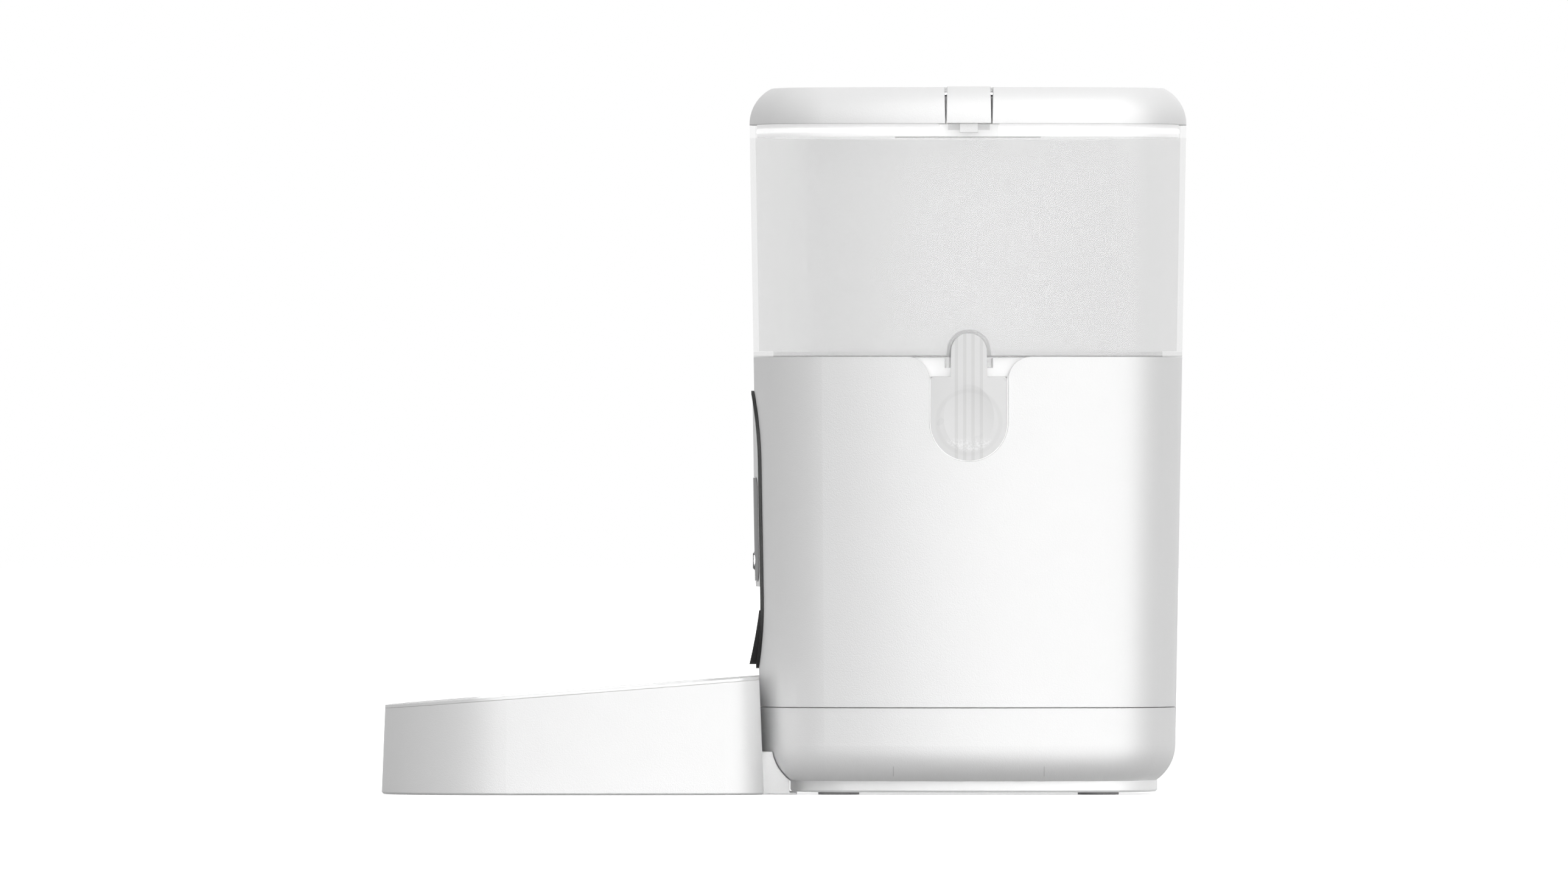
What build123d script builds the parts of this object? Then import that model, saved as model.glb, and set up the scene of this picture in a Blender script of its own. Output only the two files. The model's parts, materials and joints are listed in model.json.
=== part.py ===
from build123d import *
from math import cos, radians, sin, sqrt, tan
import os

os.makedirs("parts", exist_ok=True)

# Smart pet feeder, in millimetres: +Z up, the bowl towards -Y, the same on the left and right.
# The pieces are modelled about the upright axis of the body. At the end they are moved so that
# the origin is the middle of the whole outline, on the floor.

# Body seen from above at the rim: four bowed sides, round corners, tapering downwards
rim_depth = 192.0
rim_width = 180.0
side_radius = 187.0
corner_radius = 38.0
draft_angle = 1.0

# Heights of the seams
foot_height = 1.04
base_floor_z = 6.0
split_z = 38.0
body_top_z = 191.8
rim_z = 293.7

# Walls and gaps
shell_wall = 2.5
tank_wall = 2.5
inner_wall = 2.0
seam_gap = 0.3
slide_gap = 0.5
run_gap = 0.05

# Base
base_curve_radius = 19.2
base_curve_start_z = 21.8
plinth_depth = 161.4
plinth_width = 149.0
plinth_shift = 2.6
plinth_corner = 26.0
plinth_edge = 0.8
foot_radius = 9.0
foot_spread_x = 104.0
foot_spread_y = 113.7

# Lid
lid_height = 16.0
lid_round = 17.3
lid_land = 0.5
lid_wall = 2.2
latch_width = 19.7
latch_taper = 0.8
latch_notch_width = 20.5
latch_notch_flare = 0.85
latch_reach = 16.5
latch_rise = 0.3
latch_wall = 2.4
latch_pin_radius = 1.0
latch_pin_reach = 14.4
latch_pin_drop = 3.3
latch_barrel_radius = 2.2
hook_width = 8.1
hook_wall = 1.2
hook_drop = 3.9
catch_radius = 0.5
liner_depth = 5.6
liner_plate = 1.5
seal_height = 2.0
pocket_side = 64.0
pocket_height = 15.0
pocket_wall = 1.6
pocket_door_thickness = 1.5
pocket_slots = 9
pocket_slot_pitch = 6.0

# Tank
recess_width = 20.3
recess_height = 4.4
recess_depth = 4.1
shoulder = 2.4
insert_inset = 8.3
insert_wall = 2.2
throat_radius = 43.0
funnel_angle = 52.0
ledge_rib = 0.6
ledge_rib_drop = 2.7

# Release tabs and the notches that they fill
notch_half_width = 17.2
notch_flare_radius = 10.0
notch_centre_z = 163.1
tab_inset = 0.3
tab_thickness = 1.8
tab_gap = 0.35
tab_top_z = 183.0
tab_arch_radius = 7.8
tab_arch_z = 194.2
tab_slot = 1.7
tab_neck_half_width = 8.1
tab_rib_width = 1.6
tab_rib_pitch = 3.63
tab_rib_count = 4
tab_rib_depth = 0.8
tab_dimple_radius = 14.1
tab_dimple_depth = 0.8
tab_pivot_z = 196.0
tab_bead_radius = 0.8
tab_pocket_depth = 3.3

# Hopper frame
frame_inset = 6.0
frame_wall = 1.8
collar_z = 183.0
collar_notch_width = 21.0
collar_notch_depth = 4.4
frame_window = 42.0
deck_thickness = 2.5
deck_above_floor = 8.5
leg_width = 8.0
leg_x = 54.0
leg_y = 60.0
leg_joint_z = 46.0

# Dosing drum and rotor
drum_floor_z = 109.5
drum_floor = 2.5
drum_radius = 47.0
drum_flange = 4.0
outlet_half_angle = 34.0
outlet_inner_radius = 16.0
rotor_height = 22.0
rotor_gap = 1.0
rotor_vanes = 6
vane_thickness = 2.4
hub_radius = 10.0
hub_cap_height = 3.5
shaft_radius = 4.0
baffle_thickness = 2.0
baffle_half_angle = 42.0
baffle_groove = 0.6

# Gear train
gear_module = 1.0
fine_module = 0.8
output_teeth = 46
idler_small_teeth = 12
idler_large_teeth = 36
pinion_teeth = 12
gear_width = 6.0
fine_gear_width = 3.0
gear_gap = 1.5
gearbox_z = 78.0
gearbox_height = 17.0
gearbox_wall = 1.8
gearbox_cover = 2.0
pillar_width = 6.0
motor_radius = 12.0
motor_length = 30.0
motor_shaft_radius = 1.0
idler_pin_radius = 1.5

# Front panel
panel_half_width = 31.0
panel_low_z = 55.0
panel_high_z = 177.0
adhesive_gap = 0.05
ring_width = 1.5
ring_proud = 1.3
plate_gap = 0.2
plate_proud = 0.8
window_width = 50.0
window_low_z = 93.5
window_high_z = 138.8
window_corner = 5.5
window_proud = 1.1
mouth_top_z = 91.0
mouth_half_width = 26.5
button_z = 102.2
button_radius = 3.55
button_proud = 0.75
button_travel = 0.5
button_edge = 0.3
button_stem_radius = 1.6
bezel_width = 0.6
bezel_proud = 0.9
chrome_width = 0.45
chrome_height = 0.45

# Chute
chute_half_width = 22.0
chute_wall = 2.0
chute_back_y = 13.5
chute_end_y = 86.0
chute_end_low_z = 61.5
chute_end_high_z = 87.0
spout_wall = 2.0
spout_top_z = 80.4
spout_reach_top = 91.8
spout_reach_bottom = 96.5
spout_hollow = 0.38

# Boards, speaker and power socket
board_thickness = 1.6
front_board_width = 40.0
front_board_low_z = 96.0
front_board_high_z = 150.0
main_board_width = 64.0
main_board_low_z = 50.0
main_board_high_z = 100.0
main_board_y = 76.0
rail_width = 4.0
light_size = (3.0, 3.0)
led_pitch = 7.0
led_z = 126.0
chip_side = 18.0
chip_height = 3.0
small_chip_side = 12.0
capacitor_radius = 4.0
capacitor_length = 8.0
capacitor_z = 10.0
switch_side = 6.0
speaker_radius = 11.0
speaker_height = 5.0
socket_width = 11.0
socket_height = 6.0
socket_depth = 11.0
socket_z = 26.0
socket_sunk = 0.6
socket_slot_width = 9.0
socket_slot_height = 3.2

# Batteries
cell_radius = 16.5
cell_length = 60.0
cell_count = 3
cell_gap = 0.6
contact_width = 14.0
contact_height = 16.0
tray_wall = 2.0
door_thickness = 2.0
door_grooves = 5
groove_length = 24.0
groove_pitch = 3.0
groove_width = 1.2

# Bowl and its holder
dish_reach = 257.7
dish_half_width = 84.0
dish_front_bow = 185.0
dish_side_bow = 300.0
dish_front_corner = 58.0
dish_rear_corner = 22.0
dish_rear_y = 93.2
dish_rear_bow = 400.0
dish_draft = 2.3
dish_wall = 2.4
dish_floor = 3.0
dish_front_height = 38.8
dish_slope = 4.43
dish_edge = 0.7
bowl_lip = 1.3
bowl_thickness = 1.0
bowl_floor_z = 8.0
bowl_floor_inset = 16.0
bowl_slant = 12.0
bowl_round = 12.0
bowl_rear_corner = 16.0
dock_half_width = 44.7
dock_height = 18.7
dock_lip_height = 0.75
dock_lip_length = 3.2

# Places worked out from the sizes above
body_shift = (dish_reach - rim_depth / 2) / 2
lid_top_z = rim_z + lid_height
tank_foot_z = body_top_z + 0.2
outlet_z = drum_floor_z + drum_floor
rotor_top_z = outlet_z + seam_gap + rotor_height
baffle_z = rotor_top_z + 1.5
drum_top_z = baffle_z + baffle_thickness + 1.0
throat_z = drum_top_z + seam_gap
drum_outer_radius = drum_radius + inner_wall
deck_z = drum_floor_z + deck_above_floor
gearbox_top_z = gearbox_z + gearbox_height
fine_gear_z = gearbox_z + gearbox_wall + gear_gap
output_gear_z = fine_gear_z + fine_gear_width + gear_gap
idler_y = gear_module * (output_teeth + idler_small_teeth) / 2
pinion_y = idler_y + fine_module * (idler_large_teeth + pinion_teeth) / 2
plate_half_width = panel_half_width - ring_width - plate_gap
spout_half_width = panel_half_width - ring_width - seam_gap
cell_z = foot_height + door_thickness + seam_gap + cell_radius
tray_half_y = cell_count * (cell_radius + cell_gap / 2) + cell_gap
tray_half_x = cell_length / 2 + 3 * cell_gap
tray_top_z = cell_z + cell_radius + cell_gap
far = 400.0


def skin_inset(z):
    """How far the tapered skin at height z lies inside the outline of the rim."""
    return (rim_z - z) * tan(radians(draft_angle))


def front_y(z, proud=0.0):
    """Distance from the axis to the front skin, at the middle of the front."""
    return rim_depth / 2 - skin_inset(z) + proud


def side_x(z, proud=0.0):
    """Distance from the axis to the side skin, at the middle of the side."""
    return rim_width / 2 - skin_inset(z) + proud


def bowed_square(half_x, half_y, bow, corner):
    """Square with four bowed sides and round corners."""
    disc = Circle(bow)
    outline = Pos(0, bow - half_y) * disc
    outline &= Pos(0, half_y - bow) * disc
    outline &= Pos(bow - half_x, 0) * disc
    outline &= Pos(half_x - bow, 0) * disc
    return fillet(outline.vertices(), corner)


def plan(inset):
    """Outline of the rim, moved inward by inset."""
    return bowed_square(
        rim_width / 2 - inset, rim_depth / 2 - inset, side_radius - inset, corner_radius - inset
    )


def tapered(outline, low_z, height, angle):
    """Upright block on an outline, whose sides lean inward by the angle as they rise."""
    block = extrude(Pos(0, 0, low_z) * outline, height)
    sides = block.faces().filter_by(lambda face: abs(face.normal_at().Z) < 0.5)
    return draft(sides, Plane.XY.offset(low_z), angle)


def form(low_z, high_z, inset=0.0):
    """Tapered solid inside the skin between two heights, moved inward by inset."""
    return tapered(plan(skin_inset(low_z) + inset), low_z, high_z - low_z, -draft_angle)


def wall(low_z, high_z, inset, thickness):
    """Tapered wall that runs all round the body."""
    inner = form(low_z - 1, high_z + 1, inset + thickness)
    return form(low_z, high_z, inset) - inner


def box(low_x, high_x, low_y, high_y, low_z, high_z):
    """Box between two corners."""
    block = Box(high_x - low_x, high_y - low_y, high_z - low_z)
    return Pos((low_x + high_x) / 2, (low_y + high_y) / 2, (low_z + high_z) / 2) * block


def rod(radius, low_z, high_z, x=0.0, y=0.0):
    """Upright cylinder."""
    return Pos(x, y, (low_z + high_z) / 2) * Cylinder(radius, high_z - low_z)


def post(width, low_z, high_z, x, y):
    """Upright square post."""
    return Pos(x, y, (low_z + high_z) / 2) * Box(width, width, high_z - low_z)


def side_prism(outline, low_x=0.0, high_x=far):
    """Outline drawn in Y and Z, drawn out along X."""
    return extrude(Plane.YZ.offset(low_x) * outline, high_x - low_x)


def front_prism(outline, near_y=0.0, far_y=far):
    """Outline drawn in X and Z, drawn out towards the front."""
    return extrude(Plane.XZ.offset(near_y) * outline, far_y - near_y)


def stadium(half_width, low_z, high_z):
    """Upright slot shape."""
    middle = Rectangle(2 * half_width, high_z - low_z - 2 * half_width)
    middle = Pos(0, (low_z + high_z) / 2) * middle
    ends = Pos(0, low_z + half_width) * Circle(half_width)
    ends += Pos(0, high_z - half_width) * Circle(half_width)
    return middle + ends


def grown(size, gap):
    """Width and height of a hole that clears a thing of this size all round."""
    return size[0] + 2 * gap, size[1] + 2 * gap


def both_sides(shape):
    """The shape and its mirror image on the left."""
    return shape + mirror(shape, Plane.YZ)


def sector(inner_radius, outer_radius, half_angle, low_z, high_z):
    """Sector of a ring that opens to the front."""
    spread = far * sin(radians(half_angle))
    reach = far * cos(radians(half_angle))
    wedge = make_face(Polyline((0, 0), (-spread, -reach), (spread, -reach), close=True))
    ring = (Circle(outer_radius) - Circle(inner_radius)) & wedge
    return extrude(Pos(0, 0, low_z) * ring, high_z - low_z)


# Lid
def lid_form(top_z):
    """Rounded block of the lid, cut flat at top_z."""
    block = extrude(Pos(0, 0, rim_z) * plan(0), lid_round + lid_land)
    block = fillet(block.faces().sort_by(Axis.Z)[-1].edges(), lid_round)
    return block & box(-far, far, -far, far, rim_z, top_z)


def lid_void(thickness):
    """Hollow under a shell of the given thickness, with a sloping shoulder in place of the round."""
    block = extrude(Pos(0, 0, rim_z) * plan(thickness), lid_height - thickness)
    return chamfer(block.faces().sort_by(Axis.Z)[-1].edges(), lid_round / 2)


def latch_outline(width, change):
    """Side view of a latch or of its notch: its width at the foot changes towards the top."""
    low = width / 2
    high = (width + change) / 2
    points = [(-low, rim_z - 1), (low, rim_z - 1), (high, lid_top_z + 1), (-high, lid_top_z + 1)]
    return make_face(Polyline(*points, close=True))


latch_pin_x = rim_width / 2 - latch_pin_reach
latch_pin_z = lid_top_z + latch_rise - latch_pin_drop
latch_back_x = rim_width / 2 - latch_reach
notch_back_x = latch_pin_x - latch_pin_drop - 3 * seam_gap


def lid_shell():
    shell = lid_form(lid_top_z) - lid_void(lid_wall)
    notch_top_width = latch_notch_width + latch_notch_flare
    half_y = notch_top_width / 2 + lid_wall
    housing = box(notch_back_x - lid_wall, far, -half_y, half_y, rim_z, far)
    shell += both_sides(housing) & lid_form(lid_top_z)
    notch = side_prism(latch_outline(latch_notch_width, latch_notch_flare), notch_back_x)
    floor_x = rim_width / 2 - recess_depth - catch_radius
    notch -= box(notch_back_x - 1, floor_x, -far, far, rim_z - 2, rim_z + pocket_wall)
    return shell - both_sides(notch)


def latch_pin():
    """Right-hand pin, between the walls of the notch."""
    length = latch_notch_width + latch_notch_flare * 0.7
    pin = Rot(90, 0, 0) * Cylinder(latch_pin_radius, length)
    return Pos(latch_pin_x, 0, latch_pin_z) * pin


def latch():
    """Right-hand latch: a curved shell with a barrel for the pin and a hook at its foot."""
    top_z = lid_top_z + latch_rise
    shell = lid_form(top_z) - lid_void(latch_wall)
    blank = side_prism(latch_outline(latch_width, -latch_taper), latch_back_x)
    blank &= box(0, far, -far, far, rim_z + slide_gap / 3, far)
    shell &= blank
    back_edge = shell.edges().filter_by(Axis.Y).group_by(Axis.X)[0].sort_by(Axis.Z)[-1]
    shell = chamfer(back_edge, latch_wall / 2)
    barrel_length = latch_width - latch_taper - slide_gap
    barrel = Rot(90, 0, 0) * Cylinder(latch_barrel_radius, barrel_length)
    shell += Pos(latch_pin_x, 0, latch_pin_z) * barrel
    hook_x = rim_width / 2 - latch_wall - hook_wall / 2
    hook_low_z = rim_z - hook_drop
    half = hook_width / 2
    shell += box(hook_x, hook_x + hook_wall, -half, half, hook_low_z, rim_z + latch_wall)
    shell += Pos(hook_x, 0, hook_low_z + catch_radius) * catch_ridge()
    bore = Rot(90, 0, 0) * Cylinder(latch_pin_radius + run_gap, far)
    return shell - Pos(latch_pin_x, 0, latch_pin_z) * bore


liner_inset = tank_wall + 0.9
jog_x = rim_width / 2 - recess_depth - inner_wall - slide_gap
jog_half_y = recess_width / 2 + inner_wall + slide_gap


def catch_ridge():
    """Small ridge that a latch snaps over."""
    return Rot(0, 45, 0) * Box(catch_radius * sqrt(2), hook_width, catch_radius * sqrt(2))


def lid_liner():
    """Inner plate of the lid and its skirt, which steps in behind the latch recesses."""
    low_z = rim_z - liner_depth
    plate_z = rim_z + 0.2
    top_z = plate_z + liner_plate
    solid = extrude(Pos(0, 0, low_z) * plan(liner_inset), top_z - low_z)
    inside = extrude(Pos(0, 0, low_z - 1) * plan(liner_inset + inner_wall), plate_z - low_z + 1)
    jog = box(jog_x - inner_wall, far, -jog_half_y - inner_wall, jog_half_y + inner_wall, 0, far)
    inside -= both_sides(jog)
    solid -= inside
    solid -= both_sides(box(jog_x, far, -jog_half_y, jog_half_y, 0, far))
    half_y = (latch_notch_width + latch_notch_flare) / 2 + lid_wall + slide_gap
    clear_x = notch_back_x - lid_wall - slide_gap
    solid -= both_sides(box(clear_x, far, -half_y, half_y, rim_z - 0.3, far))
    half = pocket_side / 2
    return solid - box(-half, half, -half, half, low_z - 1, far)


def lid_seal():
    """Soft bead round the skirt, with a break at each latch recess."""
    low_z = rim_z - liner_depth / 2 - seal_height / 2
    outer = extrude(Pos(0, 0, low_z) * plan(liner_inset - 0.45), seal_height)
    inner = extrude(Pos(0, 0, low_z) * plan(liner_inset), seal_height)
    gap = both_sides(box(0, far, -jog_half_y, jog_half_y, 0, far))
    return outer - inner - (gap - box(-jog_x, jog_x, -far, far, 0, far))


pocket_low_z = rim_z - liner_depth + 0.4 + pocket_door_thickness


def desiccant_pocket():
    """Box in the lid, open below, for a drying sachet."""
    half = pocket_side / 2
    inner = half - pocket_wall
    top_z = pocket_low_z + pocket_height
    block = box(-half, half, -half, half, pocket_low_z, top_z)
    return block - box(-inner, inner, -inner, inner, pocket_low_z - 1, top_z - pocket_wall)


def desiccant_door():
    """Slotted door under the pocket, on a film hinge along its back edge."""
    half = pocket_side / 2
    low_z = pocket_low_z - pocket_door_thickness - 0.1
    door = box(-half, half, -half, half, low_z, pocket_low_z - 0.1)
    for row in range(pocket_slots):
        y = (row - (pocket_slots - 1) / 2) * pocket_slot_pitch
        door -= Pos(0, y, low_z) * Box(pocket_side * 0.7, pocket_slot_pitch * 0.4, far)
    return door


# Tank and its tabs
def tab_arch(radius, low_z):
    """Side view of a round-headed opening."""
    head = Pos(0, tab_arch_z) * Circle(radius)
    return head + Pos(0, (tab_arch_z + low_z) / 2) * Rectangle(2 * radius, tab_arch_z - low_z)


def insert_block(inset, low_z, high_z):
    """Foot of the tank, inside the body: upright walls, cut below by a cone that leads to the throat."""
    walls = extrude(Pos(0, 0, low_z) * plan(insert_inset + inset), high_z - low_z)
    spread = tan(radians(funnel_angle))
    low_radius = throat_radius + inner_wall + (low_z - throat_z) * spread
    low_radius -= inset / cos(radians(funnel_angle))
    high_radius = low_radius + (high_z - low_z) * spread
    cone = Cone(low_radius, high_radius, high_z - low_z)
    return walls & Pos(0, 0, (low_z + high_z) / 2) * cone


def tank():
    outer = form(tank_foot_z, rim_z) + insert_block(0, throat_z, tank_foot_z + 1)
    void = form(tank_foot_z + shoulder, rim_z + 1, tank_wall)
    void += insert_block(insert_wall, throat_z - 1, tank_foot_z + shoulder + 1)
    void += rod(throat_radius, throat_z - 1, throat_z + 2 * insert_wall)
    shell = outer - void
    arch_top_z = tab_arch_z + tab_arch_radius + tab_slot + inner_wall + 1
    pocket_back = wall(tank_foot_z, arch_top_z, tank_wall - 0.5, tab_pocket_depth)
    arch_radius = tab_arch_radius + tab_slot
    backing = pocket_back & side_prism(tab_arch(arch_radius + inner_wall, tank_foot_z))
    shell += both_sides(backing)
    pocket = wall(tank_foot_z - 1, arch_top_z, -1, tab_pocket_depth + 1)
    pocket &= side_prism(tab_arch(arch_radius, tank_foot_z - 1))
    shell -= both_sides(pocket)
    recess_x = rim_width / 2 - recess_depth
    ledge_half = recess_width / 2 + inner_wall
    ledge_z = rim_z - recess_height - tank_wall * 0.7
    ledge = box(recess_x - inner_wall, far, -ledge_half, ledge_half, ledge_z, rim_z)
    for side in (1, -1):
        rib_y = side * (ledge_half - 2 * ledge_rib)
        low_z = ledge_z - ledge_rib_drop
        ledge += box(recess_x, far, rib_y - ledge_rib / 2, rib_y + ledge_rib / 2, low_z, ledge_z)
    shell += both_sides(ledge & form(tank_foot_z, rim_z, tank_wall / 5))
    recess = box(recess_x, far, -recess_width / 2, recess_width / 2, rim_z - recess_height, far)
    shell -= both_sides(recess)
    shell += both_sides(Pos(recess_x, 0, rim_z - hook_drop / 2) * catch_ridge())
    return shell


def tab_outline():
    """Side view of the release tab: a broad tongue that fills the notch, and a narrow neck."""
    half = notch_half_width - tab_gap
    tongue = Pos(0, notch_centre_z) * Circle(half)
    tongue += Pos(0, (notch_centre_z + tab_top_z) / 2) * Rectangle(2 * half, tab_top_z - notch_centre_z)
    tongue = fillet(tongue.vertices().group_by(Axis.Y)[-1], 1.5)
    neck_top = tab_arch_z
    neck = make_face(Polyline(
        (-tab_neck_half_width, tab_top_z - 1), (tab_neck_half_width, tab_top_z - 1),
        (tab_arch_radius, neck_top), (-tab_arch_radius, neck_top), close=True))
    return tongue + neck + Pos(0, neck_top) * Circle(tab_arch_radius)


def release_tab():
    """Right-hand tab, with its ribs, dimple and film-hinge bead."""
    low_z = notch_centre_z - notch_half_width - 1
    high_z = tab_arch_z + tab_arch_radius + 1
    outline = tab_outline()
    blade = wall(low_z, high_z, tab_inset, tab_thickness) & side_prism(outline)
    back = wall(low_z, high_z, tab_inset + tab_thickness - 0.2, tab_rib_depth + 0.2)
    for rib in range(tab_rib_count):
        y = (rib - (tab_rib_count - 1) / 2) * tab_rib_pitch
        strip = Pos(y, (low_z + high_z) / 2) * Rectangle(tab_rib_width, high_z - low_z)
        blade += back & side_prism(strip & outline)
    ball = (tab_dimple_radius ** 2 + tab_dimple_depth ** 2) / (2 * tab_dimple_depth)
    centre_x = side_x(notch_centre_z) - tab_inset - tab_dimple_depth + ball
    blade -= Pos(centre_x, 0, notch_centre_z) * Sphere(ball)
    bead_x = side_x(tab_pivot_z) - tab_pocket_depth + tab_bead_radius + run_gap
    bead = Rot(90, 0, 0) * Cylinder(tab_bead_radius, 1.6 * tab_arch_radius)
    return blade + Pos(bead_x, 0, tab_pivot_z) * bead


# Body shell
def notch_outline():
    """Side view of the notch in the top of the shell, with flared upper corners."""
    width = 2 * notch_half_width
    straight = Pos(0, (notch_centre_z + body_top_z) / 2)
    outline = straight * Rectangle(width, body_top_z - notch_centre_z)
    outline += Pos(0, notch_centre_z) * Circle(notch_half_width)
    outline += Pos(0, body_top_z + width / 2) * Rectangle(4 * width, width)
    corners = outline.vertices().filter_by(
        lambda v: abs(v.Y - body_top_z) < 0.01 and abs(v.X) < notch_half_width + 0.01
    )
    return fillet(corners, notch_flare_radius)


def mouth_outline(gap=0.0):
    """Front view of the food mouth above the spout: a flat top and sides that spread downwards."""
    top = mouth_half_width + gap
    low = plate_half_width + 1
    points = [(-top, mouth_top_z + gap), (top, mouth_top_z + gap), (low, spout_top_z), (-low, spout_top_z)]
    upper = make_face(Polyline(*points, close=True))
    lower = Pos(0, spout_top_z - far / 2) * Rectangle(2 * low, far)
    return upper + lower


def body_shell():
    shell = wall(split_z + seam_gap, body_top_z, 0, shell_wall)
    shell -= both_sides(side_prism(notch_outline()))
    mouth = mouth_outline() & stadium(plate_half_width, panel_low_z + ring_width + plate_gap, panel_high_z)
    shell -= front_prism(mouth)
    shell -= front_prism(Pos(0, button_z) * Circle(button_stem_radius + slide_gap))
    for light in (-1, 0, 1):
        shell -= front_prism(Pos(light * led_pitch, led_z) * Rectangle(*grown(light_size, seam_gap)))
    shell += both_sides(front_rail())
    return shell + both_sides(rear_rail())


front_board_y = rim_depth / 2 - skin_inset(window_low_z) - shell_wall - 3.0


def front_board():
    """Upright board behind the window, with the switch that the button presses."""
    half = front_board_width / 2
    front = front_board_y
    board = box(-half, half, -front, board_thickness - front, front_board_low_z, front_board_high_z)
    stem_end = front_y(button_z) - shell_wall
    half = switch_side / 2
    near_y = button_travel + 2 * seam_gap - stem_end
    switch = box(-half, half, near_y, -front, button_z - half, button_z + half)
    return board + switch


def front_rail():
    """Right-hand slotted rail inside the front wall, which holds the front board."""
    x = front_board_width / 2
    back_y = front_board_y - board_thickness - rail_width / 2
    rail = box(x - 1.5, x + rail_width - 1.5, -far, -back_y, front_board_low_z, front_board_high_z)
    rail &= form(split_z, body_top_z, shell_wall / 2)
    slot = box(0, x + seam_gap, -front_board_y - 0.1, board_thickness - front_board_y + 0.1, 0, far)
    return rail - slot


def indicator_lights():
    """Three small light guides between the board and the window."""
    lights = []
    for place in (-1, 0, 1):
        outline = Pos(place * led_pitch, led_z) * Rectangle(*light_size)
        lights.append(front_prism(outline, front_board_y, front_y(led_z) - shell_wall / 3))
    return Compound(lights)


def main_board():
    half = main_board_width / 2
    y = main_board_y
    board = box(-half, half, y, y + board_thickness, main_board_low_z, main_board_high_z)
    middle_z = (main_board_low_z + main_board_high_z) / 2
    board += box(-chip_side, 0, y - chip_height, y, middle_z, middle_z + chip_side)
    low_x = chip_side / 2
    high_x = low_x + small_chip_side
    high_z = middle_z - chip_height
    board += box(low_x, high_x, y - chip_height / 2, y, high_z - small_chip_side, high_z)
    capacitor = Rot(90, 0, 0) * Cylinder(capacitor_radius, capacitor_length)
    return board + Pos(low_x + capacitor_radius, y - capacitor_length / 2, middle_z + capacitor_z) * capacitor


def rear_rail():
    """Right-hand slotted rail inside the rear wall, which holds the main board."""
    x = main_board_width / 2
    rail = box(x - 1.5, x + rail_width - 1.5, main_board_y - 2, far, main_board_low_z, main_board_high_z)
    rail &= form(split_z, body_top_z, shell_wall / 2)
    slot = box(0, x + seam_gap, main_board_y - 0.1, main_board_y + board_thickness + 0.1, 0, far)
    return rail - slot


# Front panel, as layers on the skin
def layer(outline, proud):
    """Layer on the front skin, proud of it, with the given front view."""
    low_z = panel_low_z - 2
    high_z = panel_high_z + 2
    skin = form(low_z, high_z, -proud) - form(low_z - 1, high_z + 1, -adhesive_gap)
    return skin & front_prism(outline)


def front_ring():
    inner = panel_half_width - ring_width
    outline = stadium(panel_half_width, panel_low_z, panel_high_z)
    outline -= stadium(inner, panel_low_z + ring_width, panel_high_z - ring_width)
    return layer(outline, ring_proud)


def window_outline(gap=0.0):
    height = window_high_z - window_low_z
    shape = RectangleRounded(window_width + 2 * gap, height + 2 * gap, window_corner + gap)
    return Pos(0, (window_low_z + window_high_z) / 2) * shape


def faceplate():
    edge = ring_width + plate_gap
    outline = stadium(plate_half_width, panel_low_z + edge, panel_high_z - edge)
    return layer(outline - mouth_outline() - window_outline(plate_gap), plate_proud)


bezel_radius = button_radius + run_gap + bezel_width


def display_window():
    hole = Pos(0, button_z) * Circle(bezel_radius + run_gap)
    return layer(window_outline() - hole, window_proud)


def button_bezel():
    back_y = front_y(button_z + bezel_radius) + run_gap
    outline = Circle(bezel_radius) - Circle(button_radius + run_gap)
    return front_prism(Pos(0, button_z) * outline, back_y, back_y + bezel_proud)


def chrome_ring():
    """Bright ring on the bezel."""
    back_y = front_y(button_z + bezel_radius) + run_gap + bezel_proud
    inner = button_radius + run_gap
    outline = Circle(inner + chrome_width) - Circle(inner)
    return front_prism(Pos(0, button_z) * outline, back_y, back_y + chrome_height)


def feed_button():
    """Round cap with a stem that reaches the switch."""
    cap_front = front_y(button_z, window_proud + button_proud)
    cap_back = front_y(button_z + button_radius) + button_travel + run_gap
    cap = front_prism(Pos(0, button_z) * Circle(button_radius), cap_back, cap_front)
    cap = chamfer(cap.edges().group_by(Axis.Y)[0], button_edge)
    stem_end = front_y(button_z) - shell_wall
    stem = front_prism(Pos(0, button_z) * Circle(button_stem_radius), stem_end, cap_back + 0.2)
    return cap + stem


# Food path
def chute_outline(wall_thickness):
    """Side view of the sloping duct."""
    back = -chute_back_y + wall_thickness * 1.3
    top = drum_floor_z - seam_gap
    points = [
        (back, top),
        (-drum_radius - wall_thickness * 1.3, top),
        (-chute_end_y, chute_end_high_z + wall_thickness * 1.2),
        (-chute_end_y, chute_end_low_z - wall_thickness * 1.2),
    ]
    return make_face(Polyline(*points, close=True))


def food_chute():
    half = chute_half_width + chute_wall
    duct = side_prism(chute_outline(chute_wall), -half, half)
    inside = side_prism(chute_outline(0), -chute_half_width, chute_half_width)
    top_z = drum_floor_z - seam_gap
    inlet = box(-chute_half_width, chute_half_width, -drum_radius, -chute_back_y, top_z - 2, far)
    outlet = box(
        -chute_half_width, chute_half_width, -far, 1 - chute_end_y, chute_end_low_z, chute_end_high_z
    )
    return duct - inside - inlet - outlet


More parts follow.
